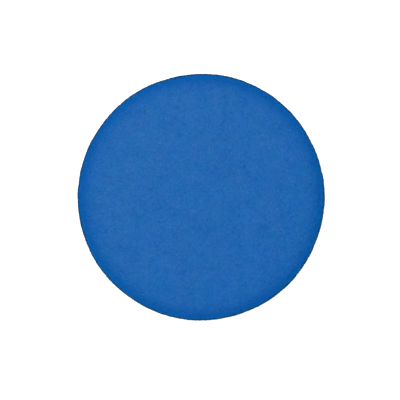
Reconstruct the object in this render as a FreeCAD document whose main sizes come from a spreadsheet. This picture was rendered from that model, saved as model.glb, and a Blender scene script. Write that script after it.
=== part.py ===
# Disc air stone for a pond or a large aquarium, as a parametric FreeCAD document.
#
# A thick disc of bonded mineral grains is glued over a moulded pan. Air comes in through a
# barbed elbow under the middle of the pan, fills the chamber between pan and disc, and leaves
# as fine bubbles through the disc. Four suction cups hold the pan clear of the tank floor, and
# leave room for the air line. The elbow turns in its bore, so that the air line can leave on
# any side.
#
# Millimetres, +Z up. The origin is on the floor under the middle of the disc, and the elbow
# points to -Y.

import FreeCAD, Part

import math
import os

import Sketcher

# Every driving dimension, in millimetres unless its name says count or angle.
DIMENSIONS = {
    # the mineral disc
    "disc_diameter": 101.6,
    "disc_side_height": 11.4,
    "disc_shoulder_radius": 8.0,
    "disc_lower_edge_radius": 1.2,
    "plug_diameter": 88.4,
    "plug_edge_chamfer": 0.5,
    "chamber_diameter": 76.0,
    "chamber_depth": 4.5,
    "chamber_corner_radius": 3.0,
    # the pan under it
    "floor_gap": 8.0,
    "pan_diameter": 93.0,
    "pan_floor_thickness": 2.2,
    "pan_corner_radius": 3.0,
    "pan_wall": 2.0,
    "ledge_height": 2.4,
    "ledge_width": 4.0,
    "rim_lap": 2.0,
    "rim_edge_radius": 0.5,
    "relief_inner_diameter": 15.0,
    "relief_outer_diameter": 56.0,
    "relief_depth": 0.6,
    "rib_count": 8,
    "rib_thickness": 1.6,
    "rib_inner_radius": 11.0,
    "rib_outer_radius": 36.0,
    "rib_end_slope": 2.0,
    "rib_clearance": 0.2,
    # the glue between disc and pan
    "glue_line": 0.5,
    "glue_bead_radius": 0.2,
    "glue_setback": 0.3,
    # the bore in the middle of the pan, and the elbow that turns in it
    "bore_diameter": 8.9,
    "bore_lead_chamfer": 0.4,
    "boss_diameter": 16.0,
    "boss_height": 3.2,
    "swivel_clearance": 0.05,
    "swivel_end_play": 0.1,
    "inlet_height": 4.2,
    "elbow_tube_diameter": 6.0,
    "flange_diameter": 13.0,
    "flange_thickness": 1.0,
    "flange_edge_radius": 0.3,
    "flange_root_radius": 0.6,
    "snap_hook_diameter": 10.0,
    "snap_hook_land": 0.5,
    "snap_hook_lead": 1.2,
    "snap_tip_diameter": 7.8,
    "snap_slot_count": 4,
    "snap_slot_width": 1.2,
    "snap_finger_length": 2.2,
    "snap_bore_diameter": 5.8,
    "snap_bore_taper": 0.8,
    "riser_bore_diameter": 3.0,
    "riser_sump": 0.3,
    "groove_start": 0.9,
    "groove_width": 1.6,
    "groove_floor_diameter": 6.6,
    "ring_height": 1.5,
    "ring_clearance": 0.02,
    "ring_edge_radius": 0.45,
    # the hose end of the elbow
    "nozzle_bore_diameter": 2.6,
    "nozzle_mouth_chamfer": 0.2,
    "collar_reach": 8.0,
    "collar_thickness": 1.2,
    "collar_diameter": 7.0,
    "collar_edge_radius": 0.3,
    "land_length": 4.2,
    "land_diameter": 5.2,
    "barb_count": 3,
    "barb_pitch": 3.4,
    "barb_crest_diameter": 5.1,
    "barb_root_diameter": 4.2,
    "barb_back_length": 0.2,
    "barb_neck_length": 0.8,
    "nozzle_tip_length": 0.6,
    "nozzle_tip_diameter": 3.8,
    "nozzle_tip_radius": 0.3,
    # the suction cups and their sockets in the pan
    "cup_count": 4,
    "cup_pitch_radius": 37.0,
    "cup_start_angle": 45.0,
    "cup_lip_diameter": 19.0,
    "cup_lip_land": 0.8,
    "cup_lip_thickness": 0.6,
    "cup_lip_edge_radius": 0.25,
    "cup_hollow_depth": 2.4,
    "cup_flank_bend": 9.0,
    "cup_waist_diameter": 8.0,
    "cup_waist_height": 5.6,
    "cup_collar_diameter": 9.6,
    "cup_collar_start": 6.6,
    "stud_neck_diameter": 4.9,
    "stud_head_diameter": 6.6,
    "stud_head_land": 0.5,
    "stud_head_taper": 1.2,
    "stud_tip_diameter": 4.0,
    "socket_mouth_diameter": 5.0,
    "socket_mouth_depth": 1.4,
    "socket_diameter": 7.0,
    "socket_depth": 3.6,
    "socket_hub_diameter": 11.0,
}

SHEET = "Dims"
H_AXIS, V_AXIS = -1, -2  # how Sketcher numbers a sketch's own two axes
START, END = 1, 2  # and the two ends of a line or an arc
LEFT, RIGHT = 1, -1  # the way an arc turns on its way round an outline
SAME_PLACE = 0.01


class Size:
    """A length with its value, to draw with, and the spreadsheet formula that drives it."""

    def __init__(self, value, formula=None):
        self.value = float(value)
        self.formula = formula or repr(float(value))

    def combined(self, sign, other, value):
        return Size(value, f"({self.formula} {sign} {other.formula})")

    def __add__(self, other):
        other = as_size(other)
        return self.combined("+", other, self.value + other.value)

    def __sub__(self, other):
        other = as_size(other)
        return self.combined("-", other, self.value - other.value)

    def __mul__(self, other):
        other = as_size(other)
        return self.combined("*", other, self.value * other.value)

    def __truediv__(self, other):
        other = as_size(other)
        return self.combined("/", other, self.value / other.value)

    def __neg__(self):
        return Size(-self.value, f"(-{self.formula})")


def as_size(length):
    return length if isinstance(length, Size) else Size(length)


def dim(alias):
    """A driving dimension by its alias in the spreadsheet."""
    return Size(DIMENSIONS[alias], f"{SHEET}.{alias}")


ZERO = Size(0)

# Heights above the floor that more than one sub-part shares, from the bottom up.
PAN_UNDERSIDE = dim("floor_gap")
PAN_FLOOR = PAN_UNDERSIDE + dim("pan_floor_thickness")
LEDGE_TOP = PAN_FLOOR + dim("ledge_height")
RIM_TOP = LEDGE_TOP + dim("rim_lap")
DISC_SEAT = RIM_TOP + dim("glue_line")
DISC_TOP = DISC_SEAT + dim("disc_side_height")
CHAMBER_ROOF = LEDGE_TOP + dim("chamber_depth")
BOSS_TOP = PAN_FLOOR + dim("boss_height")

# Radii that more than one sub-part shares.
DISC_RADIUS = dim("disc_diameter") / 2
PLUG_RADIUS = dim("plug_diameter") / 2
PAN_RADIUS = dim("pan_diameter") / 2
RIM_INNER_RADIUS = PAN_RADIUS - dim("pan_wall")
BORE_RADIUS = dim("bore_diameter") / 2


# ---------------------------------------------------------------- drawing with the spreadsheet


def make_sheet(doc):
    sheet = doc.addObject("Spreadsheet::Sheet", SHEET)
    for row, (alias, value) in enumerate(DIMENSIONS.items(), start=1):
        sheet.set(f"A{row}", alias)
        sheet.set(f"B{row}", str(value))
        sheet.setAlias(f"B{row}", alias)
    doc.recompute()


def new_body(doc, label):
    body = doc.addObject("PartDesign::Body", label)
    body.Label = label
    return body


def origin_part(body, role):
    return next(o for o in body.Origin.OriginFeatures if o.Role == role)


def bind(thing, name, size):
    """Sets a property of a feature and ties it to the sheet."""
    setattr(thing, name, size.value)
    thing.setExpression(name, size.formula)


def constrain(sketch, size, *constraint):
    """Adds a dimension to a sketch and ties it to the sheet."""
    index = sketch.addConstraint(Sketcher.Constraint(*constraint, size.value))
    sketch.setExpression(f"Constraints[{index}]", size.formula)


def pin_point(sketch, shape, point, across, up):
    """Ties one point of a sketch shape to its two coordinates."""
    for kind, axis, length in (("DistanceX", V_AXIS, across), ("DistanceY", H_AXIS, up)):
        if length.value == 0:
            sketch.addConstraint(Sketcher.Constraint("PointOnObject", shape, point, axis))
        else:
            constrain(sketch, length, kind, H_AXIS, START, shape, point)


def new_sketch(body, name, plane, turn=None):
    """A sketch on one of the body's origin planes, turned about the sketch's own up direction."""
    sketch = body.newObject("Sketcher::SketchObject", name)
    sketch.AttachmentSupport = [(origin_part(body, plane), "")]
    sketch.MapMode = "FlatFace"
    if turn is not None:
        turned = FreeCAD.Rotation(FreeCAD.Vector(0, 1, 0), turn.value)
        sketch.AttachmentOffset = FreeCAD.Placement(FreeCAD.Vector(), turned)
        sketch.setExpression("AttachmentOffset.Rotation.Angle", f"{turn.formula} * 1 deg")
    return sketch


def short_arc(start, end, radius, way):
    """The short arc from start to end that turns LEFT or RIGHT. Sketcher keeps every arc
    anticlockwise, so an arc that turns RIGHT is stored from its end to its start."""
    chord = end - start
    left = FreeCAD.Vector(-chord.y, chord.x, 0).normalize()
    centre = start + chord / 2 + left * way * math.sqrt(radius**2 - (chord.Length / 2) ** 2)
    first, last = (start, end) if way == LEFT else (end, start)
    angles = [math.atan2(p.y - centre.y, p.x - centre.x) for p in (first, last)]
    if angles[1] < angles[0]:
        angles[1] += 2 * math.pi
    circle = Part.Circle(centre, FreeCAD.Vector(0, 0, 1), radius)
    return Part.ArcOfCircle(circle, *angles)


def draw_outline(sketch, corners):
    """A closed outline through the corners. A corner is (across, up), reached by a line, or
    (across, up, radius, way), reached by an arc."""
    points = [FreeCAD.Vector(corner[0].value, corner[1].value, 0) for corner in corners]
    ends = []
    for i, (_, _, *arc) in enumerate(corners):
        start, end = points[i - 1], points[i]
        if arc:
            radius, way = arc
            shape = sketch.addGeometry(short_arc(start, end, radius.value, way))
            constrain(sketch, radius, "Radius", shape)
            ends.append((shape, START, END) if way == LEFT else (shape, END, START))
        else:
            shape = sketch.addGeometry(Part.LineSegment(start, end))
            ends.append((shape, START, END))
    for i, (shape, _, end) in enumerate(ends):
        following, start, _ = ends[(i + 1) % len(ends)]
        sketch.addConstraint(Sketcher.Constraint("Coincident", shape, end, following, start))
    for (shape, _, end), (across, up, *_) in zip(ends, corners):
        pin_point(sketch, shape, end, across, up)


def draw_axis(sketch, start, end):
    """A construction line, which features of the sketch can turn about as Axis0."""
    points = [FreeCAD.Vector(across.value, up.value, 0) for across, up in (start, end)]
    line = sketch.addGeometry(Part.LineSegment(*points), True)
    pin_point(sketch, line, START, *start)
    pin_point(sketch, line, END, *end)


def turned(body, name, kind, sketch, axis="V_Axis"):
    """A full turn of a sketch about one of its axes, as a Revolution or a Groove."""
    feature = body.newObject(f"PartDesign::{kind}", name)
    feature.Profile = sketch
    feature.ReferenceAxis = (sketch, [axis])
    feature.Angle = 360
    body.Document.recompute()
    return feature


def polar_copies(body, name, features, count):
    """Repeats features evenly around the body's upright axis."""
    pattern = body.newObject("PartDesign::PolarPattern", name)
    pattern.Originals = features
    pattern.Axis = (origin_part(body, "Z_Axis"), [""])
    pattern.Angle = 360
    pattern.Occurrences = round(count.value)
    pattern.setExpression("Occurrences", count.formula)
    body.Tip = pattern
    body.Document.recompute()


def ring_edges(feature, spots):
    """The names of a feature's circular edges about Z that have a radius and a height in spots."""
    names = []
    for i, edge in enumerate(feature.Shape.Edges, start=1):
        if edge.Degenerated or not isinstance(edge.Curve, Part.Circle):
            continue
        centre = edge.Curve.Center
        if math.hypot(centre.x, centre.y) > SAME_PLACE:
            continue
        for radius, height in spots:
            if (
                abs(edge.Curve.Radius - radius.value) < SAME_PLACE
                and abs(centre.z - height.value) < SAME_PLACE
            ):
                names.append(f"Edge{i}")
    return names


def dressed(body, name, kind, base, spots, size):
    """A Fillet or a Chamfer on the ring edges of base at the given radii and heights."""
    feature = body.newObject(f"PartDesign::{kind}", name)
    feature.Base = (base, ring_edges(base, spots))
    bind(feature, "Radius" if kind == "Fillet" else "Size", size)
    body.Tip = feature
    body.Document.recompute()
    return feature


def require_less(after, before):
    """Stops the build if a cut took nothing away."""
    if after.Shape.Volume > before.Shape.Volume - SAME_PLACE:
        raise RuntimeError(f"{after.Label} cut nothing")


# ------------------------------------------------------------------------------- the sub-parts


def make_diffuser_disc(doc):
    """The mineral disc: a rounded puck whose plug drops into the pan, hollow underneath."""
    body = new_body(doc, "diffuser_disc")
    chamber_radius = dim("chamber_diameter") / 2
    sketch = new_sketch(body, "disc_section", "XZ_Plane")
    draw_outline(
        sketch,
        [
            (ZERO, DISC_TOP),
            (ZERO, CHAMBER_ROOF),
            (chamber_radius, CHAMBER_ROOF),
            (chamber_radius, LEDGE_TOP),
            (PLUG_RADIUS, LEDGE_TOP),
            (PLUG_RADIUS, DISC_SEAT),
            (DISC_RADIUS, DISC_SEAT),
            (DISC_RADIUS, DISC_TOP),
        ],
    )
    puck = turned(body, "disc_puck", "Revolution", sketch)
    shoulder = dressed(
        body,
        "disc_shoulder",
        "Fillet",
        puck,
        [(DISC_RADIUS, DISC_TOP)],
        dim("disc_shoulder_radius"),
    )
    lower = dressed(
        body,
        "disc_lower_edge",
        "Fillet",
        shoulder,
        [(DISC_RADIUS, DISC_SEAT)],
        dim("disc_lower_edge_radius"),
    )
    chamber = dressed(
        body,
        "chamber_corner",
        "Fillet",
        lower,
        [(chamber_radius, CHAMBER_ROOF)],
        dim("chamber_corner_radius"),
    )
    dressed(
        body,
        "plug_edge",
        "Chamfer",
        chamber,
        [(PLUG_RADIUS, LEDGE_TOP)],
        dim("plug_edge_chamfer"),
    )
    return body


def make_disc_sealant(doc):
    """The ring of epoxy that fills the joint between the plug, the pan's rim and the disc."""
    body = new_body(doc, "disc_sealant")
    bead_radius = PAN_RADIUS - dim("glue_setback")
    sketch = new_sketch(body, "sealant_section", "XZ_Plane")
    draw_outline(
        sketch,
        [
            (PLUG_RADIUS, DISC_SEAT),
            (PLUG_RADIUS, LEDGE_TOP + dim("plug_edge_chamfer")),
            (RIM_INNER_RADIUS, LEDGE_TOP + dim("plug_edge_chamfer")),
            (RIM_INNER_RADIUS, RIM_TOP),
            (bead_radius, RIM_TOP),
            (bead_radius, DISC_SEAT),
        ],
    )
    ring = turned(body, "sealant_ring", "Revolution", sketch)
    dressed(
        body,
        "sealant_bead",
        "Fillet",
        ring,
        [(bead_radius, RIM_TOP), (bead_radius, DISC_SEAT)],
        dim("glue_bead_radius"),
    )
    return body


def make_base_pan(doc):
    """The moulded pan: floor, rim, ledge for the disc, boss for the elbow, ribs and sockets."""
    body = new_body(doc, "base_pan")
    ledge_radius = RIM_INNER_RADIUS - dim("ledge_width")
    boss_radius = dim("boss_diameter") / 2
    relief_roof = PAN_UNDERSIDE + dim("relief_depth")
    sketch = new_sketch(body, "pan_section", "XZ_Plane")
    draw_outline(
        sketch,
        [
            (BORE_RADIUS, BOSS_TOP),
            (BORE_RADIUS, PAN_UNDERSIDE),
            (dim("relief_inner_diameter") / 2, PAN_UNDERSIDE),
            (dim("relief_inner_diameter") / 2, relief_roof),
            (dim("relief_outer_diameter") / 2, relief_roof),
            (dim("relief_outer_diameter") / 2, PAN_UNDERSIDE),
            (PAN_RADIUS, PAN_UNDERSIDE),
            (PAN_RADIUS, RIM_TOP),
            (RIM_INNER_RADIUS, RIM_TOP),
            (RIM_INNER_RADIUS, LEDGE_TOP),
            (ledge_radius, LEDGE_TOP),
            (ledge_radius, PAN_FLOOR),
            (boss_radius, PAN_FLOOR),
            (boss_radius, BOSS_TOP),
        ],
    )
    dish = turned(body, "pan_dish", "Revolution", sketch)
    corner = dressed(
        body,
        "pan_corner",
        "Fillet",
        dish,
        [(PAN_RADIUS, PAN_UNDERSIDE)],
        dim("pan_corner_radius"),
    )
    rim = dressed(
        body,
        "rim_edge",
        "Fillet",
        corner,
        [(PAN_RADIUS, RIM_TOP)],
        dim("rim_edge_radius"),
    )
    dressed(
        body,
        "bore_lead",
        "Chamfer",
        rim,
        [(BORE_RADIUS, PAN_UNDERSIDE)],
        dim("bore_lead_chamfer"),
    )
    add_ribs(body)
    add_sockets(body)
    return body


def add_ribs(body):
    """Upright ribs in the chamber, which stiffen the floor and back up the disc's roof."""
    top = CHAMBER_ROOF - dim("rib_clearance")
    inner, outer = dim("rib_inner_radius"), dim("rib_outer_radius")
    slope = dim("rib_end_slope")
    half_step = Size(180) / dim("rib_count")
    sketch = new_sketch(body, "rib_section", "XZ_Plane", turn=half_step)
    draw_outline(
        sketch,
        [
            (inner, PAN_FLOOR),
            (outer, PAN_FLOOR),
            (outer - slope, top),
            (inner + slope, top),
        ],
    )
    rib = body.newObject("PartDesign::Pad", "rib")
    rib.Profile = sketch
    rib.Midplane = True
    bind(rib, "Length", dim("rib_thickness"))
    body.Document.recompute()
    polar_copies(body, "ribs", [rib], dim("rib_count"))


def add_sockets(body):
    """Blind hubs that rise from the floor, each with an undercut socket for a cup's stud."""
    pitch, turn = dim("cup_pitch_radius"), dim("cup_start_angle")
    hub_radius = dim("socket_hub_diameter") / 2
    hub_sketch = new_sketch(body, "hub_section", "XZ_Plane", turn=turn)
    draw_outline(
        hub_sketch,
        [
            (pitch, LEDGE_TOP),
            (pitch, PAN_FLOOR),
            (pitch + hub_radius, PAN_FLOOR),
            (pitch + hub_radius, LEDGE_TOP),
        ],
    )
    draw_axis(hub_sketch, (pitch, PAN_FLOOR), (pitch, LEDGE_TOP))
    hub = turned(body, "hub", "Revolution", hub_sketch, "Axis0")
    mouth_radius = dim("socket_mouth_diameter") / 2
    socket_radius = dim("socket_diameter") / 2
    mouth_top = PAN_UNDERSIDE + dim("socket_mouth_depth")
    socket_top = PAN_UNDERSIDE + dim("socket_depth")
    socket_sketch = new_sketch(body, "socket_section", "XZ_Plane", turn=turn)
    draw_outline(
        socket_sketch,
        [
            (pitch, socket_top),
            (pitch, PAN_UNDERSIDE),
            (pitch + mouth_radius, PAN_UNDERSIDE),
            (pitch + mouth_radius, mouth_top),
            (pitch + socket_radius, mouth_top),
            (pitch + socket_radius, socket_top),
        ],
    )
    draw_axis(socket_sketch, (pitch, PAN_UNDERSIDE), (pitch, socket_top))
    socket = turned(body, "socket", "Groove", socket_sketch, "Axis0")
    require_less(socket, hub)
    polar_copies(body, "hubs_and_sockets", [hub, socket], dim("cup_count"))


def make_inlet_elbow(doc):
    """The elbow: a snap-in spigot that turns in the pan's bore, and a barbed hose nozzle."""
    body = new_body(doc, "inlet_elbow")
    add_spigot(body)
    add_nozzle(body)
    cut_airway(body)
    cut_snap_slots(body)
    return body


def spigot_heights():
    """The heights along the spigot: flange top, groove, and the catch and tip of its hooks."""
    flange_top = PAN_UNDERSIDE - dim("swivel_end_play")
    groove_bottom = PAN_UNDERSIDE + dim("groove_start")
    groove_top = groove_bottom + dim("groove_width")
    catch = BOSS_TOP + dim("swivel_end_play")
    tip = catch + dim("snap_hook_land") + dim("snap_hook_lead")
    return flange_top, groove_bottom, groove_top, catch, tip


def add_spigot(body):
    flange_top, groove_bottom, groove_top, catch, tip = spigot_heights()
    flange_bottom = flange_top - dim("flange_thickness")
    neck = dim("elbow_tube_diameter") / 2
    flange = dim("flange_diameter") / 2
    spigot = BORE_RADIUS - dim("swivel_clearance")
    groove = dim("groove_floor_diameter") / 2
    hook = dim("snap_hook_diameter") / 2
    sketch = new_sketch(body, "spigot_section", "XZ_Plane")
    draw_outline(
        sketch,
        [
            (ZERO, tip),
            (ZERO, dim("inlet_height")),
            (neck, dim("inlet_height")),
            (neck, flange_bottom),
            (flange, flange_bottom),
            (flange, flange_top),
            (spigot, flange_top),
            (spigot, groove_bottom),
            (groove, groove_bottom),
            (groove, groove_top),
            (spigot, groove_top),
            (spigot, catch),
            (hook, catch),
            (hook, catch + dim("snap_hook_land")),
            (dim("snap_tip_diameter") / 2, tip),
        ],
    )
    stem = turned(body, "spigot", "Revolution", sketch)
    root = dressed(
        body,
        "flange_root",
        "Fillet",
        stem,
        [(neck, flange_bottom)],
        dim("flange_root_radius"),
    )
    dressed(
        body,
        "flange_edge",
        "Fillet",
        root,
        [(flange, flange_bottom)],
        dim("flange_edge_radius"),
    )


def add_nozzle(body):
    """The level tube with its round back, hose stop, plain land and barbs, pointing to -Y."""
    level = dim("inlet_height")
    tube = dim("elbow_tube_diameter") / 2
    root = dim("barb_root_diameter") / 2
    crest = dim("barb_crest_diameter") / 2
    land = dim("land_diameter") / 2
    collar = dim("collar_diameter") / 2
    collar_start = dim("collar_reach")
    collar_end = collar_start + dim("collar_thickness")
    edge = dim("collar_edge_radius")
    land_end = collar_end + dim("land_length")
    corners = [
        (tube, level),
        (ZERO, level + tube, tube, LEFT),
        (-collar_start, level + tube),
        (-collar_start, level + collar - edge),
        (-(collar_start + edge), level + collar, edge, LEFT),
        (-(collar_end - edge), level + collar),
        (-collar_end, level + collar - edge, edge, LEFT),
        (-collar_end, level + land),
        (-land_end, level + land),
        (-land_end, level + root),
    ]
    reach = land_end + dim("barb_neck_length")
    for _ in range(round(dim("barb_count").value)):
        corners.append((-reach, level + root))
        corners.append((-(reach + dim("barb_back_length")), level + crest))
        reach = reach + dim("barb_pitch")
    reach = nozzle_reach()
    tip = dim("nozzle_tip_diameter") / 2
    tip_edge = dim("nozzle_tip_radius")
    corners.append((-(reach - tip_edge), level + tip))
    corners.append((-reach, level + tip - tip_edge, tip_edge, LEFT))
    corners.append((-reach, level))
    sketch = new_sketch(body, "nozzle_section", "YZ_Plane")
    draw_outline(sketch, corners)
    draw_axis(sketch, (-reach, level), (tube, level))
    turned(body, "nozzle", "Revolution", sketch, "Axis0")


def nozzle_reach():
    """How far the nozzle's tip is from the elbow's own axis."""
    barbs = dim("barb_pitch") * dim("barb_count")
    land_end = dim("collar_reach") + dim("collar_thickness") + dim("land_length")
    return land_end + dim("barb_neck_length") + barbs + dim("nozzle_tip_length")


def cut_airway(body):
    """The level bore from the nozzle's tip, and the riser that opens between the hooks."""
    level = dim("inlet_height")
    bore = dim("nozzle_bore_diameter") / 2
    riser = dim("riser_bore_diameter") / 2
    mouth = dim("snap_bore_diameter") / 2
    *_, catch, tip = spigot_heights()
    reach = nozzle_reach()
    solid = body.Tip
    chamfer = dim("nozzle_mouth_chamfer")
    level_sketch = new_sketch(body, "level_bore_section", "YZ_Plane")
    draw_outline(
        level_sketch,
        [
            (ZERO, level),
            (ZERO, level + bore),
            (-(reach - chamfer), level + bore),
            (-reach, level + bore + chamfer),
            (-reach, level),
        ],
    )
    draw_axis(level_sketch, (-reach, level), (ZERO, level))
    level_bore = turned(body, "level_bore", "Groove", level_sketch, "Axis0")
    require_less(level_bore, solid)
    riser_bottom = level - bore - dim("riser_sump")
    widening = catch - dim("snap_finger_length")
    riser_sketch = new_sketch(body, "riser_section", "XZ_Plane")
    draw_outline(
        riser_sketch,
        [
            (ZERO, tip),
            (ZERO, riser_bottom),
            (riser, riser_bottom),
            (riser, widening),
            (mouth, widening + dim("snap_bore_taper")),
            (mouth, tip),
        ],
    )
    riser_bore = turned(body, "riser_bore", "Groove", riser_sketch)
    require_less(riser_bore, level_bore)


def cut_snap_slots(body):
    """Slots that part the top of the spigot into springy fingers, each with its hook."""
    *_, catch, tip = spigot_heights()
    bottom = catch - dim("snap_finger_length")
    half = dim("snap_slot_width") / 2
    solid = body.Tip
    sketch = new_sketch(body, "slot_section", "YZ_Plane")
    draw_outline(sketch, [(half, tip), (-half, tip), (-half, bottom), (half, bottom)])
    slot = body.newObject("PartDesign::Pocket", "slot")
    slot.Profile = sketch
    bind(slot, "Length", dim("snap_hook_diameter") / 2)
    body.Document.recompute()
    require_less(slot, solid)
    polar_copies(body, "slots", [slot], dim("snap_slot_count"))


def make_inlet_o_ring(doc):
    """The rubber ring in the spigot's groove, drawn as the bore squeezes it."""
    body = new_body(doc, "inlet_o_ring")
    _, groove_bottom, groove_top, *_ = spigot_heights()
    inner = dim("groove_floor_diameter") / 2
    outer = BORE_RADIUS - dim("ring_clearance")
    middle = (groove_bottom + groove_top) / 2
    low, high = middle - dim("ring_height") / 2, middle + dim("ring_height") / 2
    sketch = new_sketch(body, "ring_section", "XZ_Plane")
    draw_outline(sketch, [(inner, high), (inner, low), (outer, low), (outer, high)])
    ring = turned(body, "ring", "Revolution", sketch)
    corners = [(r, z) for r in (inner, outer) for z in (low, high)]
    dressed(body, "ring_edges", "Fillet", ring, corners, dim("ring_edge_radius"))
    return body


def make_suction_cup(doc, number):
    """One soft suction cup with the mushroom stud that snaps into the pan."""
    body = new_body(doc, f"suction_cup_{number}")
    lip = dim("cup_lip_diameter") / 2
    waist = dim("cup_waist_diameter") / 2
    collar = dim("cup_collar_diameter") / 2
    neck = dim("stud_neck_diameter") / 2
    head = dim("stud_head_diameter") / 2
    hollow_radius = lip - dim("cup_lip_land")
    hollow_depth = dim("cup_hollow_depth")
    dome = (hollow_radius * hollow_radius + hollow_depth * hollow_depth) / (hollow_depth * 2)
    head_bottom = PAN_UNDERSIDE + dim("socket_mouth_depth")
    head_top = head_bottom + dim("stud_head_land")
    stud_tip = head_top + dim("stud_head_taper")
    sketch = new_sketch(body, "cup_section", "XZ_Plane")
    draw_outline(
        sketch,
        [
            (ZERO, stud_tip),
            (ZERO, hollow_depth),
            (hollow_radius, ZERO, dome, RIGHT),
            (lip, ZERO),
            (lip, dim("cup_lip_thickness")),
            (waist, dim("cup_waist_height"), dim("cup_flank_bend"), RIGHT),
            (collar, dim("cup_collar_start")),
            (collar, PAN_UNDERSIDE),
            (neck, PAN_UNDERSIDE),
            (neck, head_bottom),
            (head, head_bottom),
            (head, head_top),
            (dim("stud_tip_diameter") / 2, stud_tip),
        ],
    )
    cup = turned(body, "cup", "Revolution", sketch)
    dressed(
        body,
        "cup_lip_edge",
        "Fillet",
        cup,
        [(lip, dim("cup_lip_thickness"))],
        dim("cup_lip_edge_radius"),
    )
    place_on_pitch(body, number - 1)
    return body


def place_on_pitch(body, step):
    """Sets a body on the circle of sockets, step sockets on from the first."""
    turn = dim("cup_start_angle") + Size(360) / dim("cup_count") * step
    pitch = dim("cup_pitch_radius")
    angle = math.radians(turn.value)
    place = FreeCAD.Vector(pitch.value * math.cos(angle), pitch.value * math.sin(angle), 0)
    body.Placement = FreeCAD.Placement(place, FreeCAD.Rotation())
    for axis, function in (("x", "cos"), ("y", "sin")):
        formula = f"{pitch.formula} * {function}({turn.formula} * 1 deg)"
        body.setExpression(f"Placement.Base.{axis}", formula)


# ---------------------------------------------------------------------------- checks and export


def check_document(doc, bodies):
    """Stops the build if any object failed, or a sub-part isn't one sound solid."""
    doc.recompute()
    failed = [o.Label for o in doc.Objects if {"Invalid", "Error"} & set(o.State)]
    if failed:
        raise RuntimeError(f"these objects failed: {failed}")
    for body in bodies:
        shape = body.Shape
        if shape.isNull() or not shape.isValid() or len(shape.Solids) != 1:
            raise RuntimeError(f"{body.Label} isn't one valid solid")


def export(bodies):
    os.makedirs("parts", exist_ok=True)
    for body in bodies:
        body.Shape.exportStep(os.path.join("parts", f"{body.Label}.step"))
        box = body.Shape.BoundBox
        print(
            f"{body.Label}: {box.XLength:.2f} x {box.YLength:.2f} x {box.ZLength:.2f} mm,"
            f" z {box.ZMin:.2f} to {box.ZMax:.2f}, {body.Shape.Volume / 1000:.3f} cm3"
        )


def main():
    doc = FreeCAD.newDocument("disc_air_stone")
    make_sheet(doc)
    bodies = [
        make_diffuser_disc(doc),
        make_disc_sealant(doc),
        make_base_pan(doc),
        make_inlet_elbow(doc),
        make_inlet_o_ring(doc),
    ]
    for number in range(1, round(dim("cup_count").value) + 1):
        bodies.append(make_suction_cup(doc, number))
    check_document(doc, bodies)
    export(bodies)


main()
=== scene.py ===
"""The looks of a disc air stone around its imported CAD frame.

Metres, +Z up, the origin on the floor under the middle of the disc, as in the frame.
"""

import math
import random

import bpy
import numpy as np
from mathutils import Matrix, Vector, noise


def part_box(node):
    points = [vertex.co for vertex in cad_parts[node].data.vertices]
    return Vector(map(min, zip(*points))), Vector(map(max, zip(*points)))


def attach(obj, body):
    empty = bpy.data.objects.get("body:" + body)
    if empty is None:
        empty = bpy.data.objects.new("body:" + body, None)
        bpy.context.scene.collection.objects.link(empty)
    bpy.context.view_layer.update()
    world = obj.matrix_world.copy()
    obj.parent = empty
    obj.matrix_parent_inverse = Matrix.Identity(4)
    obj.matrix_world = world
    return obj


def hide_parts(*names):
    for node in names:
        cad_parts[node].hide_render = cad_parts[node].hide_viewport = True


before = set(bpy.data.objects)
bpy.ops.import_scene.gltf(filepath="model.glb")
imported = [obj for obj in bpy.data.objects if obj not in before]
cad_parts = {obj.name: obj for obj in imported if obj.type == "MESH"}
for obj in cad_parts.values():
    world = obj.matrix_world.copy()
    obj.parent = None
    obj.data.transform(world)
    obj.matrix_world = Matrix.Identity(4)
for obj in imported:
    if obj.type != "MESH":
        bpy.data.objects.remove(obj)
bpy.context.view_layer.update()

MM = 0.001
TAU = 2 * math.pi

DISC_LOW, DISC_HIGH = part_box("diffuser_disc")
PAN_LOW, PAN_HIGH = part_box("base_pan")
_, GLUE_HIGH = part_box("disc_sealant")
CUPS = [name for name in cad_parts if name.startswith("suction_cup")]
CUP_LOW, CUP_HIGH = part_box(CUPS[0])

# The mineral disc, from its box and its own radii.
DISC_RADIUS = DISC_HIGH.x
DISC_TOP = DISC_HIGH.z
DISC_SEAT = GLUE_HIGH.z
PLUG_BOTTOM = DISC_LOW.z
SHOULDER_RADIUS = 8.0 * MM
LOWER_EDGE_RADIUS = 1.2 * MM
PLUG_RADIUS = 44.2 * MM
CHAMBER_RADIUS = 38.0 * MM
CHAMBER_ROOF = PLUG_BOTTOM + 4.5 * MM
FACE_RADIUS = DISC_RADIUS - SHOULDER_RADIUS

# How rough its mesh is: grains, pits where a grain is missing, the hollows between clumps of
# them, and the hand-filled mould that leaves the rim a little out of round.
GRAIN = 0.9 * MM
GRAIN_DEPTH = 0.30 * MM
PIT = 3.2 * MM
PIT_DEPTH = 0.18 * MM
CLUMP = 5 * MM
CLUMP_DEPTH = 0.12 * MM
WARP = 26 * MM
WARP_DEPTH = 0.36 * MM
WARP_SEED = Vector((11.3, 4.2, 0.5))

# How close the disc's points are: where it shows and a little way on underneath, and where it
# doesn't show. Its roughness fades out before the close points end.
FINE_STEP = 0.40 * MM
COARSE_STEP = 1.6 * MM
FINE_REACH = 3.0 * MM
FADE = 2 * MM
JITTER = 0.28
SEED = 7

# The grains that its material adds: coarse ones, and fine ones between them.
COARSE_GRAIN = 0.68 * MM
FINE_GRAIN = 0.28 * MM
COARSE_RELIEF = 0.46 * MM
FINE_RELIEF = 0.21 * MM

# The chalky veil on its face, which is a painted sheen over paler grains: where it starts to thin
# out, and where it ends on the shoulder.
DEEP_BLUE = (0.0030, 0.105, 0.411, 1)
CHALK_AND_SHEEN_BLUE = (0.0344, 0.168, 0.468, 1)
SHEEN_RADIUS = 36.0 * MM
SHEEN_END = 48.3 * MM
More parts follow.
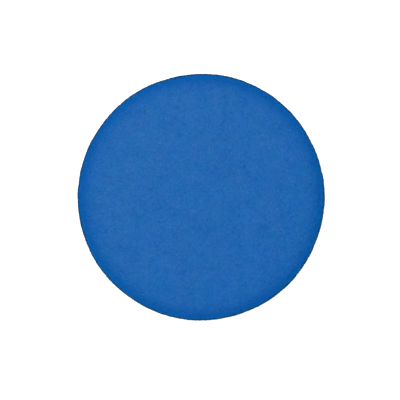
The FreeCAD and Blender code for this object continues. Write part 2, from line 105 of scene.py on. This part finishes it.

# What changes on the way down its shoulder and side, each from one depth below its top to another:
# it is painted paler with painted light, its blue turns greener and then darker with painted
# shade, and its grains lie bare.
PAINTED_LIGHT = (2.1 * MM, 3.2 * MM)
GREENER = (3.1 * MM, 4.6 * MM)
PAINTED_SHADE = (4.2 * MM, 6.1 * MM)
BARE = (3.2 * MM, 8.0 * MM)

# The glue between the plug, the pan's rim and the disc, and the bead squeezed out of it.
GLUE_BOTTOM = PLUG_BOTTOM + 0.5 * MM
RIM_TOP = DISC_SEAT - 0.5 * MM
RIM_INNER_RADIUS = PAN_HIGH.x - 2.0 * MM
BEAD_RADIUS = GLUE_HIGH.x
BEAD_SETBACK = 0.3 * MM
BEAD_LAP = 0.25 * MM
BEAD_SQUEEZE = 0.45 * MM

# The suction cups, from their box.
PAN_UNDERSIDE = PAN_LOW.z
CUP_TOP = CUP_HIGH.z
LIP_RADIUS = (CUP_HIGH.x - CUP_LOW.x) / 2


# ---------------------------------------------------------------------------------- node trees


class Nodes:
    """A material's node tree, built a node at a time."""

    def __init__(self, name):
        self.material = bpy.data.materials.new(name)
        self.material.use_nodes = True
        self.tree = self.material.node_tree
        self.shader = self.tree.nodes["Principled BSDF"]

    def add(self, kind, inputs=None, **settings):
        node = self.tree.nodes.new(f"ShaderNode{kind}")
        for key, value in settings.items():
            setattr(node, key, value)
        for key, value in (inputs or {}).items():
            self.put(node.inputs[key], value)
        return node

    def put(self, socket, value):
        if isinstance(value, bpy.types.NodeSocket):
            self.tree.links.new(value, socket)
        else:
            socket.default_value = value

    def shade(self, **inputs):
        for key, value in inputs.items():
            self.put(self.shader.inputs[key.replace("_", " ")], value)

    def place(self):
        return self.add("TexCoord").outputs["Object"]

    def height(self):
        return self.add("SeparateXYZ", {"Vector": self.place()}).outputs["Z"]

    def noise(self, size, detail=2.0, roughness=0.5, offset=0.0):
        """Noise with features about size across, around 0.5. An offset gives other noise."""
        shifted = self.add("Mapping", {"Vector": self.place(), "Location": (offset, offset, 0)})
        node = self.add(
            "TexNoise",
            {
                "Vector": shifted.outputs["Vector"],
                "Scale": 1 / size,
                "Detail": detail,
                "Roughness": roughness,
            },
        )
        return node.outputs["Fac"]

    def cells(self, size):
        """A Voronoi texture whose cells are about size across."""
        return self.add("TexVoronoi", {"Vector": self.place(), "Scale": 1 / size})

    def spread(self, value, low, high, to_low=0.0, to_high=1.0):
        """Maps low to high onto to_low to to_high, and holds it outside them."""
        node = self.add(
            "MapRange",
            {
                "Value": value,
                "From Min": low,
                "From Max": high,
                "To Min": to_low,
                "To Max": to_high,
            },
        )
        return node.outputs["Result"]

    def math(self, kind, *values):
        node = self.add("Math", operation=kind)
        for socket, value in zip(node.inputs, values):
            self.put(socket, value)
        return node.outputs["Value"]

    def crown(self, share, power):
        """1 where the share is 0, falling ever faster to 0 where it is 1."""
        return self.math("SUBTRACT", 1.0, self.math("POWER", share, power))

    def mix(self, share, first, second, how="MIX"):
        node = self.add("Mix", data_type="RGBA", blend_type=how)
        self.put(node.inputs[0], share)
        self.put(node.inputs[6], first)
        self.put(node.inputs[7], second)
        return node.outputs[2]

    def times(self, colour, factor):
        """A colour times another one, or times a number or a node's value."""
        if isinstance(factor, float):
            factor = (factor, factor, factor, 1)
        return self.mix(1.0, colour, factor, "MULTIPLY")

    def bump(self, height, distance, strength=1.0, under=None):
        """The normal of a relief, which may lie on the normal of another one."""
        node = self.add("Bump", {"Height": height, "Distance": distance, "Strength": strength})
        if under is not None:
            self.put(node.inputs["Normal"], under)
        return node.outputs["Normal"]


def grains(m, size):
    """Round grains about size across: how high the surface stands, from 0 in the pores to 1 on
    top of the tallest, and two numbers that each grain draws for itself."""
    cells = m.cells(size)
    draws = m.add("SeparateColor", {"Color": cells.outputs["Color"]})
    dome_reach, lowest = 0.85, 0.45  # as shares of its cell and of the tallest grain
    dome = m.crown(m.spread(cells.outputs["Distance"], 0.0, dome_reach), 2.0)
    height = m.math("MULTIPLY", dome, m.spread(draws.outputs["Blue"], 0, 1, lowest, 1.0))
    return height, draws.outputs["Red"], draws.outputs["Green"]


def down_side(m, stretch):
    """0 above a stretch of the disc's side and 1 below it."""
    first, last = stretch
    return m.spread(m.height(), DISC_TOP - last, DISC_TOP - first, 1.0, 0.0)


def painted_sheen_share(m):
    """How much of the painted sheen is left: all of it over the disc's middle, none on its side.
    """
    place = m.add("SeparateXYZ", {"Vector": m.place()})
    flat = m.add("CombineXYZ", {"X": place.outputs["X"], "Y": place.outputs["Y"]})
    radius = m.add("VectorMath", {0: flat.outputs["Vector"]}, operation="LENGTH").outputs["Value"]
    outward = m.spread(radius, SHEEN_RADIUS, SHEEN_END)
    on_top = m.math("SUBTRACT", 1.0, down_side(m, PAINTED_SHADE))
    return m.math("MULTIPLY", m.crown(outward, 3.0), on_top)


def painted_light_slope(m):
    """Painted light: the sheen is a little thicker towards the back left, where the light comes
    from, than towards the front right.
    """
    place = m.add("SeparateXYZ", {"Vector": m.place()})
    across = m.math("SUBTRACT", place.outputs["Y"], place.outputs["X"])
    return m.spread(across, -60 * MM, 60 * MM, -0.09, 0.09)


def chalk_and_sheen_share(m, tint, fine_tint):
    """How chalky each spot is, by what its grains draw and in soft clouds, with a painted slope of
    light across it, all kept to where the painted sheen lies.
    """
    chalk = m.math("ADD", m.spread(tint, 0, 1, 0.22, 0.48), m.spread(fine_tint, 0, 1, 0.05, 0.25))
    clouds = m.spread(m.noise(5 * MM, 4.0, 0.6), 0.25, 0.75, -0.16, 0.16)
    chalk = m.math("ADD", chalk, clouds)
    chalk = m.math("ADD", chalk, painted_light_slope(m))
    return m.math("MULTIPLY", chalk, painted_sheen_share(m))


def drift(m, colour, size, offset, first, second):
    """The colour, drifting between two tints of it in patches about size across."""
    patches = m.spread(m.noise(size, 3.0, 0.6, offset), 0.3, 0.7)
    return m.times(colour, m.mix(patches, first, second))


def mineral_material():
    """Blue grains bonded into a porous block. Its flat face is chalky and carries a painted sheen,
    its sides do not and carry painted shade, as do its pores.
    """
    m = Nodes("bonded_mineral")
    grain, tint, _ = grains(m, COARSE_GRAIN)
    crumb, fine_tint, sparkle = grains(m, FINE_GRAIN)
    pore_shade = m.math(
        "MAXIMUM", m.spread(grain, 0.1, 0.5, 1.0, 0.0), m.spread(crumb, 0.1, 0.4, 0.7, 0.0)
    )
    blue = m.mix(chalk_and_sheen_share(m, tint, fine_tint), DEEP_BLUE, CHALK_AND_SHEEN_BLUE)
    # It drifts between redder and greener, and between yellower and bluer.
    blue = drift(m, blue, 9 * MM, 0.4, (1.17, 0.965, 1.0, 1), (0.83, 1.035, 1.0, 1))
    blue = drift(m, blue, 8 * MM, 0.9, (1.0, 1.01, 0.97, 1), (1.0, 0.99, 1.03, 1))
    # A few of the fine grains are paler.
    blue = m.mix(m.spread(sparkle, 0.97, 0.98), blue, m.mix(0.25, blue, (0.10, 0.28, 0.60, 1)))
    # Painted shade: the mesh's own hollows, and then the pores, are painted darker.
    hollow = m.spread(m.add("Attribute", attribute_name="grain_height").outputs["Fac"], 0.0, 0.5)
    blue = m.mix(hollow, m.times(blue, 0.93), blue)
    blue = m.mix(pore_shade, blue, m.times(blue, 0.92))
    # On the side the grains differ more in colour, and the pores between them get a deeper painted
    # shade.
    bare = down_side(m, BARE)
    coarse = m.times(blue, m.spread(tint, 0, 1, 0.68, 1.32))
    coarse = m.mix(pore_shade, coarse, m.times(coarse, 0.65))
    blue = m.mix(bare, blue, coarse)
    # Painted light: from the shoulder down, the blue is painted paler.
    blue = m.mix(down_side(m, PAINTED_LIGHT), blue, m.times(blue, 1.12))
    blue = m.mix(down_side(m, GREENER), blue, m.times(blue, (1.7, 0.985, 0.77, 1)))
    # Painted shade: lower down the side, the blue is painted darker.
    blue = m.mix(down_side(m, PAINTED_SHADE), blue, m.times(blue, (0.51, 0.645, 0.70, 1)))
    relief = m.spread(bare, 0, 1, 0.68, 1.0)
    normal = m.bump(grain, COARSE_RELIEF, relief)
    normal = m.bump(crumb, FINE_RELIEF, relief, normal)
    m.shade(Base_Color=blue, Roughness=0.95, Specular_IOR_Level=0.0, Normal=normal)
    return m.material


def plastic_material():
    """Black ABS with a fine moulded texture, faintly scuffed."""
    m = Nodes("moulded_abs")
    scuff = m.noise(6 * MM, 6.0)
    rubbed = m.spread(scuff, 0.4, 0.7)
    # It is rubbed more along its lower edge.
    edge_from, edge_to = PAN_UNDERSIDE + 0.2 * MM, PAN_UNDERSIDE + 1.6 * MM
    low_edge = m.spread(m.height(), edge_from, edge_to, 0.55, 0.0)
    rubbed = m.math("MAXIMUM", rubbed, m.math("MULTIPLY", low_edge, m.noise(1.2 * MM, 4.0)))
    m.shade(
        Base_Color=m.mix(rubbed, (0.0085, 0.009, 0.010, 1), (0.018, 0.019, 0.0205, 1)),
        Roughness=m.spread(scuff, 0.3, 0.7, 0.32, 0.50),
        Specular_IOR_Level=0.4,
        Normal=m.bump(m.noise(0.28 * MM, 3.0, 0.6), 0.06 * MM, 1.0),
    )
    return m.material


def sealant_material():
    """Dark epoxy, glossy in places."""
    m = Nodes("cured_epoxy")
    m.shade(
        Base_Color=m.mix(m.noise(3 * MM), (0.016, 0.018, 0.022, 1), (0.026, 0.028, 0.033, 1)),
        Roughness=m.spread(m.noise(2 * MM), 0.3, 0.7, 0.18, 0.35),
        Normal=m.bump(m.noise(1.5 * MM), 0.1 * MM, 0.3),
    )
    return m.material


def elbow_material():
    """Milky polypropylene, which light enters a little."""
    m = Nodes("natural_polypropylene")
    m.shade(
        Base_Color=m.mix(m.noise(4 * MM), (0.54, 0.56, 0.52, 1), (0.63, 0.645, 0.61, 1)),
        Roughness=m.spread(m.noise(1 * MM), 0.3, 0.7, 0.26, 0.38),
        Subsurface_Weight=0.4,
        Subsurface_Radius=(1.0, 0.97, 0.92),
        Subsurface_Scale=1.5 * MM,
        Normal=m.bump(m.noise(0.6 * MM), 0.02 * MM, 0.4),
    )
    return m.material


def rubber_material():
    """Black nitrile rubber, matt."""
    m = Nodes("nitrile_rubber")
    m.shade(
        Base_Color=m.mix(m.noise(1 * MM), (0.010, 0.010, 0.010, 1), (0.016, 0.016, 0.016, 1)),
        Roughness=m.spread(m.noise(0.6 * MM), 0.3, 0.7, 0.5, 0.65),
        Normal=m.bump(m.noise(0.3 * MM), 0.02 * MM, 0.4),
    )
    return m.material


def cup_material():
    """Soft clear PVC."""
    m = Nodes("soft_clear_pvc")
    m.shade(
        Base_Color=m.mix(m.noise(5 * MM), (0.86, 0.93, 0.92, 1), (0.91, 0.955, 0.95, 1)),
        Roughness=m.spread(m.noise(1.5 * MM), 0.3, 0.7, 0.06, 0.16),
        IOR=1.53,
        Transmission_Weight=0.92,
        Normal=m.bump(m.noise(2 * MM), 0.03 * MM, 0.3),
    )
    return m.material


# --------------------------------------------------------------------------------- the meshes


def arc(centre, radius, start, end, step):
    """Points of an arc in a section plane after its first, from one angle to another, in
    degrees."""
    count = max(2, round(abs(math.radians(end - start)) * radius / step))
    for i in range(1, count + 1):
        a = math.radians(start + (end - start) * i / count)
        yield centre[0] + radius * math.cos(a), centre[1] + radius * math.sin(a)


def add_piece(mesh, body, slot, *replaced):
    piece = bpy.data.objects.new(mesh.name, mesh)
    bpy.context.scene.collection.objects.link(piece)
    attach(piece, body)
    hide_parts(*replaced)
    return piece


def disc_section():
    """The disc's outline from the middle of its top, over the side and back under the chamber,
    and how many of its points are on the part that shows."""
    shoulder = (FACE_RADIUS, DISC_TOP - SHOULDER_RADIUS)
    lower = (DISC_RADIUS - LOWER_EDGE_RADIUS, DISC_SEAT + LOWER_EDGE_RADIUS)
    step = 0.1 * MM
    points = [(0, DISC_TOP), (FACE_RADIUS, DISC_TOP)]
    points += arc(shoulder, SHOULDER_RADIUS, 90, 0, step)
    points += arc(lower, LOWER_EDGE_RADIUS, 0, -90, step)
    shown = len(points)
    points += [
        (PLUG_RADIUS, DISC_SEAT),
        (PLUG_RADIUS, PLUG_BOTTOM),
        (CHAMBER_RADIUS, PLUG_BOTTOM),
        (CHAMBER_RADIUS, CHAMBER_ROOF),
        (0, CHAMBER_ROOF),
    ]
    return np.array(points), shown


def section_at(outline, lengths, along):
    """The point at a distance along the section, and the outward normal there."""
    along = min(max(along, 0.0), lengths[-1])
    r = np.interp(along, lengths, outline[:, 0])
    z = np.interp(along, lengths, outline[:, 1])
    i = min(max(int(np.searchsorted(lengths, along)), 1), len(lengths) - 1)
    dr, dz = outline[i] - outline[i - 1]
    size = math.hypot(dr, dz)
    return r, z, -dz / size, dr / size


def clamped(value):
    """The value, held between 0 and 1."""
    return min(1.0, max(0.0, value))


def grain_depth(place, sideways, rng):
    """How far a point of the surface lies inside the disc's outline, and its height from 0 to 1
    between the pores and the tops of the grains. Sideways is 0 on the face and 1 on the rim."""
    dome_reach, pit_reach = 0.75, 0.3  # as shares of a grain's cell and of a pit's cell
    nearest_grain = noise.voronoi(place / GRAIN)[0][0]
    dome = clamped(1 - (nearest_grain / dome_reach) ** 2)
    height = clamped(0.7 * dome + 0.3 * rng.random())
    nearest_pit = noise.voronoi(place / PIT)[0][0]
    pit = clamped(1 - (nearest_pit / pit_reach) ** 2)
    clump = clamped(0.5 + noise.noise(place / CLUMP))
    warp = clamped(0.5 + noise.noise(place / WARP + WARP_SEED)) * (0.25 + 0.75 * sideways)
    height = clamped(height - 0.6 * pit)
    depth = (1 - height) * GRAIN_DEPTH + pit * PIT_DEPTH + clump * CLUMP_DEPTH + warp * WARP_DEPTH
    return depth, height


def ring_faces(rings):
    """Triangles between neighbouring rings of points, each with its own count. The first and
    the last ring are one point each. A ring is a list of (angle, vertex)."""
    faces = []
    for inner, outer in zip(rings, rings[1:]):
        counts = [len(ring) if len(ring) > 1 else 0 for ring in (inner, outer)]
        i = j = 0
        while i < counts[0] or j < counts[1]:
            a, b = inner[i % len(inner)][1], outer[j % len(outer)][1]
            if j < counts[1] and (
                i >= counts[0] or angle_after(outer, j) <= angle_after(inner, i)
            ):
                j += 1
                faces.append((a, b, outer[j % len(outer)][1]))
            else:
                i += 1
                faces.append((a, b, inner[i % len(inner)][1]))
    return faces


def angle_after(ring, i):
    """The angle of the point that follows the i-th, past a full turn for the last one."""
    return ring[i + 1][0] if i + 1 < len(ring) else ring[0][0] + TAU


def disc_stations(lengths, shown):
    """Where the rings are along the section: close together where the disc shows and for a
    little way under it, then coarse, with the corners kept."""
    fine_end = lengths[shown - 1] + FINE_REACH
    row = FINE_STEP * math.sqrt(0.75)  # rows of triangles with equal sides
    stations = list(np.arange(0, fine_end, row))
    fine_count = len(stations)
    corners = lengths[shown:]
    for start, end in zip([fine_end, *corners], corners):
        count = max(1, round((end - start) / COARSE_STEP))
        stations += list(np.linspace(start, end, count + 1)[1:])
    return stations, fine_count, fine_end


def make_disc():
    """The porous disc: rings of points, closer together than its grains where it shows."""
    rng = random.Random(SEED)
    outline, shown = disc_section()
    lengths = np.concatenate([[0], np.cumsum(np.hypot(*np.diff(outline, axis=0).T))])
    stations, fine_count, fine_end = disc_stations(lengths, shown)
    verts, rings, heights = [], [], []
    for i, station in enumerate(stations):
        fine = i < fine_count
        r = np.interp(station, lengths, outline[:, 0])
        spacing = FINE_STEP if fine else COARSE_STEP
        count = 1 if i in (0, len(stations) - 1) else max(6, round(TAU * r / spacing))
        jitter = JITTER if fine and count > 1 else 0
        phase = rng.random()
        ring = []
        for k in range(count):
            angle = TAU * (k + phase + jitter * rng.uniform(-1, 1)) / count
            along = station + jitter * spacing * rng.uniform(-1, 1)
            r, z, out_r, out_z = section_at(outline, lengths, along)
            place = Vector((r * math.cos(angle), r * math.sin(angle), z))
            height = 0.5
            if fine:
                depth, height = grain_depth(place, abs(out_r), rng)
                depth *= min(1.0, (fine_end - station) / FADE)
                outward = Vector((out_r * math.cos(angle), out_r * math.sin(angle), out_z))
                place -= outward * depth
            ring.append((angle, len(verts)))
            verts.append(place)
            heights.append(height)
        rings.append(ring)
    mesh = bpy.data.meshes.new("porous_disc")
    mesh.from_pydata(verts, [], ring_faces(rings))
    attribute = mesh.attributes.new("grain_height", "FLOAT", "POINT")
    attribute.data.foreach_set("value", np.array(heights, np.float32))
    mesh.shade_smooth()
    return add_piece(mesh, "base", "mineral", "diffuser_disc")


def rounded(corners, step):
    """A section's points with its corners rounded. A corner is (r, z) or (r, z, radius)."""
    places = [Vector(corner[:2]) for corner in corners]
    points = []
    for i, (place, corner) in enumerate(zip(places, corners)):
        if len(corner) == 2:
            points.append(tuple(place))
            continue
        back = (places[i - 1] - place).normalized()
        ahead = (places[(i + 1) % len(places)] - place).normalized()
        half = back.angle(ahead) / 2
        centre = place + (back + ahead).normalized() * corner[2] / math.sin(half)
        reach = corner[2] / math.tan(half)
        start, end = (place + way * reach - centre for way in (back, ahead))
        first = math.degrees(math.atan2(start.y, start.x))
        turn = math.degrees(math.atan2(end.y, end.x)) - first
        turn = (turn + 180) % 360 - 180
        points.append(tuple(centre + start))
        points += arc(centre, corner[2], first, first + turn, step)
    return points


def bend(start, end, radius, step):
    """Points after start on the short arc from start to end, hollow to its right."""
    chord = Vector(end) - Vector(start)
    right = Vector((chord.y, -chord.x)).normalized()
    middle = (Vector(start) + Vector(end)) / 2
    centre = middle + right * math.sqrt(radius**2 - (chord.length / 2) ** 2)
    first = math.degrees(math.atan2(start[1] - centre.y, start[0] - centre.x))
    last = math.degrees(math.atan2(end[1] - centre.y, end[0] - centre.x))
    return arc(centre, radius, first, first + (last - first + 180) % 360 - 180, step)


def lathe(name, section, turns, shift=None, centre=(0, 0)):
    """A closed section turned about an upright axis in so many steps. Points on the axis become
    poles. Shift moves a point of the section outward by an amount that depends on the angle."""
    verts, rows = [], []
    for i, (r, z) in enumerate(section):
        row = []
        for k in range(1 if r == 0 else turns):
            angle = TAU * k / turns
            out = r + (shift(i, angle) if shift else 0)
            row.append(len(verts))
            verts.append((centre[0] + out * math.cos(angle), centre[1] + out * math.sin(angle), z))
        rows.append(row)
    faces = []
    poles = section[0][0] == 0
    for low, high in zip(rows, rows[1:] if poles else rows[1:] + rows[:1]):
        for k in range(turns):
            a, b = low[k % len(low)], low[(k + 1) % len(low)]
            c, d = high[(k + 1) % len(high)], high[k % len(high)]
            faces.append(tuple(dict.fromkeys((a, b, c, d))))
    mesh = bpy.data.meshes.new(name)
    mesh.from_pydata(verts, [], faces)
    mesh.shade_smooth()
    return mesh


def make_bead():
    """The epoxy: a ring in the joint, and an uneven bead where it was squeezed out."""
    top = DISC_SEAT + BEAD_LAP
    section = [
        (PLUG_RADIUS, top),
        (PLUG_RADIUS, GLUE_BOTTOM),
        (RIM_INNER_RADIUS, GLUE_BOTTOM),
        (RIM_INNER_RADIUS, RIM_TOP),
        (BEAD_RADIUS - BEAD_SETBACK, RIM_TOP),
    ]
    fixed = len(section)
    low_end, top_end = (BEAD_RADIUS, RIM_TOP - BEAD_LAP), (BEAD_RADIUS, top)
    section += bend(low_end, top_end, radius=0.6 * MM, step=0.06 * MM)
    last = len(section) - 1
    long_wave, short_wave = 9 * MM, 3 * MM

    def squeeze(i, angle):
        if i < fixed or i == last:
            return 0
        around = Vector((math.cos(angle), math.sin(angle), 0)) * BEAD_RADIUS
        waves = noise.noise(around / long_wave) + 0.5 * noise.noise(around / short_wave)
        bulge = math.sin(math.pi * (i - fixed + 1) / (last - fixed + 1))
        return bulge * BEAD_SQUEEZE * clamped(0.45 + waves)

    mesh = lathe("epoxy_bead", section, turns=720, shift=squeeze)
    return add_piece(mesh, "base", "sealant", "disc_sealant")


def make_cup(name):
    """A soft cup: a thin rounded lip, a waist and collar, and the stud that snaps in the pan."""
    low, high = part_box(name)
    centre = (low + high) / 2
    lip, waist, collar = LIP_RADIUS, 4.0 * MM, 4.8 * MM
    neck, head, tip = 2.45 * MM, 3.3 * MM, 2.0 * MM
    hollow, hollow_roof = lip - 0.8 * MM, 2.4 * MM
    lip_top, waist_height, collar_bottom = 0.6 * MM, 5.6 * MM, 6.6 * MM
    catch = PAN_UNDERSIDE + 1.4 * MM
    head_top = catch + 0.5 * MM
    nub, nub_drop = 0.9 * MM, 0.35 * MM
    step = 0.15 * MM
    dome = (hollow**2 + hollow_roof**2) / (2 * hollow_roof)
    flank_bend = 9.0 * MM
    flank = list(bend((lip, lip_top), (waist, waist_height), flank_bend, 4 * step))
    roof = hollow_roof - nub**2 / (2 * dome)
    ceiling = list(bend((nub, roof), (hollow, 0), dome, 4 * step))
    section = rounded(
        [
            (0, hollow_roof - nub_drop),
            (nub - 0.2 * MM, hollow_roof - nub_drop, 0.1 * MM),
            (nub, roof),
            *ceiling[:-1],
            (hollow, 0, 0.12 * MM),
            (lip, 0, 0.22 * MM),
            (lip, lip_top, 0.22 * MM),
            *flank[:-1],
            (waist, waist_height, 0.5 * MM),
            (collar, collar_bottom, 0.3 * MM),
            (collar, PAN_UNDERSIDE, 0.25 * MM),
            (neck, PAN_UNDERSIDE, 0.1 * MM),
            (neck, catch, 0.1 * MM),
            (head, catch, 0.15 * MM),
            (head, head_top, 0.2 * MM),
            (tip, CUP_TOP, 0.4 * MM),
            (0, CUP_TOP),
        ],
        step,
    )
    mesh = lathe(f"clear_{name}", section, turns=96, centre=centre)
    return add_piece(mesh, "base", "cup", name)


# ------------------------------------------------------------------------------------ the scene


def paint(piece, material):
    piece.data.materials.clear()
    piece.data.materials.append(material)


def make_floor():
    """A plain white floor, a little lit from below so that it stays white up to the disc."""
    under_cups = -0.05 * MM
    bpy.ops.mesh.primitive_plane_add(size=6, location=(0, 0, under_cups))
    floor = bpy.context.object
    floor.name = "floor"
    m = Nodes("white_floor")
    m.shade(
        Base_Color=(0.8, 0.8, 0.8, 1),
        Roughness=0.9,
        Emission_Color=(1, 1, 1, 1),
        Emission_Strength=0.6,
    )
    paint(floor, m.material)


def make_surround():
    """Soft light from all round, brighter overhead. What is seen past the floor is white."""
    world = bpy.data.worlds.new("studio")
    world.use_nodes = True
    tree = world.node_tree
    direction = tree.nodes.new("ShaderNodeTexCoord").outputs["Generated"]
    up = tree.nodes.new("ShaderNodeSeparateXYZ")
    tree.links.new(direction, up.inputs["Vector"])
    light = tree.nodes.new("ShaderNodeMapRange")
    light.inputs["To Min"].default_value = 0.38
    light.inputs["To Max"].default_value = 0.62
    tree.links.new(up.outputs["Z"], light.inputs["Value"])
    seen = tree.nodes.new("ShaderNodeLightPath").outputs["Is Camera Ray"]
    strength = tree.nodes.new("ShaderNodeMath")
    strength.operation = "MAXIMUM"
    tree.links.new(seen, strength.inputs[0])
    tree.links.new(light.outputs["Result"], strength.inputs[1])
    background = tree.nodes["Background"]
    background.inputs["Color"].default_value = (1, 1, 1, 1)
    tree.links.new(strength.outputs["Value"], background.inputs["Strength"])
    bpy.context.scene.world = world


def make_softbox():
    """One large soft light overhead, a little to the back left."""
    lamp = bpy.data.lights.new("softbox", "AREA")
    lamp.shape = "SQUARE"
    lamp.size = 0.7
    lamp.energy = 9.5
    softbox = bpy.data.objects.new("softbox", lamp)
    softbox.location = (-0.11, 0.105, 1.12)
    softbox.rotation_euler = softbox.location.to_track_quat("Z", "Y").to_euler()
    bpy.context.scene.collection.objects.link(softbox)


def make_camera():
    """Straight above the disc, with the picture's up along +Y."""
    camera = bpy.data.objects.new("camera", bpy.data.cameras.new("camera"))
    bpy.context.scene.collection.objects.link(camera)
    # The frame is this wide at the height where the disc is widest.
    widest = DISC_TOP - SHOULDER_RADIUS
    distance = 0.6
    frame_width = 163.45 * MM
    # The disc stands a little up and to the right of the frame's middle.
    aside = (-0.5 * MM, -1.12 * MM)
    camera.location = (*aside, widest + distance)
    camera.data.lens = camera.data.sensor_width * distance / frame_width
    camera.data.clip_start = 0.01
    bpy.context.scene.camera = camera


make_floor()
make_surround()
make_softbox()
make_camera()
bpy.context.scene.view_settings.view_transform = "Standard"

paint(make_disc(), mineral_material())
paint(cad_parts["base_pan"], plastic_material())
paint(make_bead(), sealant_material())
paint(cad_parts["inlet_elbow"], elbow_material())
paint(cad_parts["inlet_o_ring"], rubber_material())
clear_pvc = cup_material()
for name in CUPS:
    paint(make_cup(name), clear_pvc)
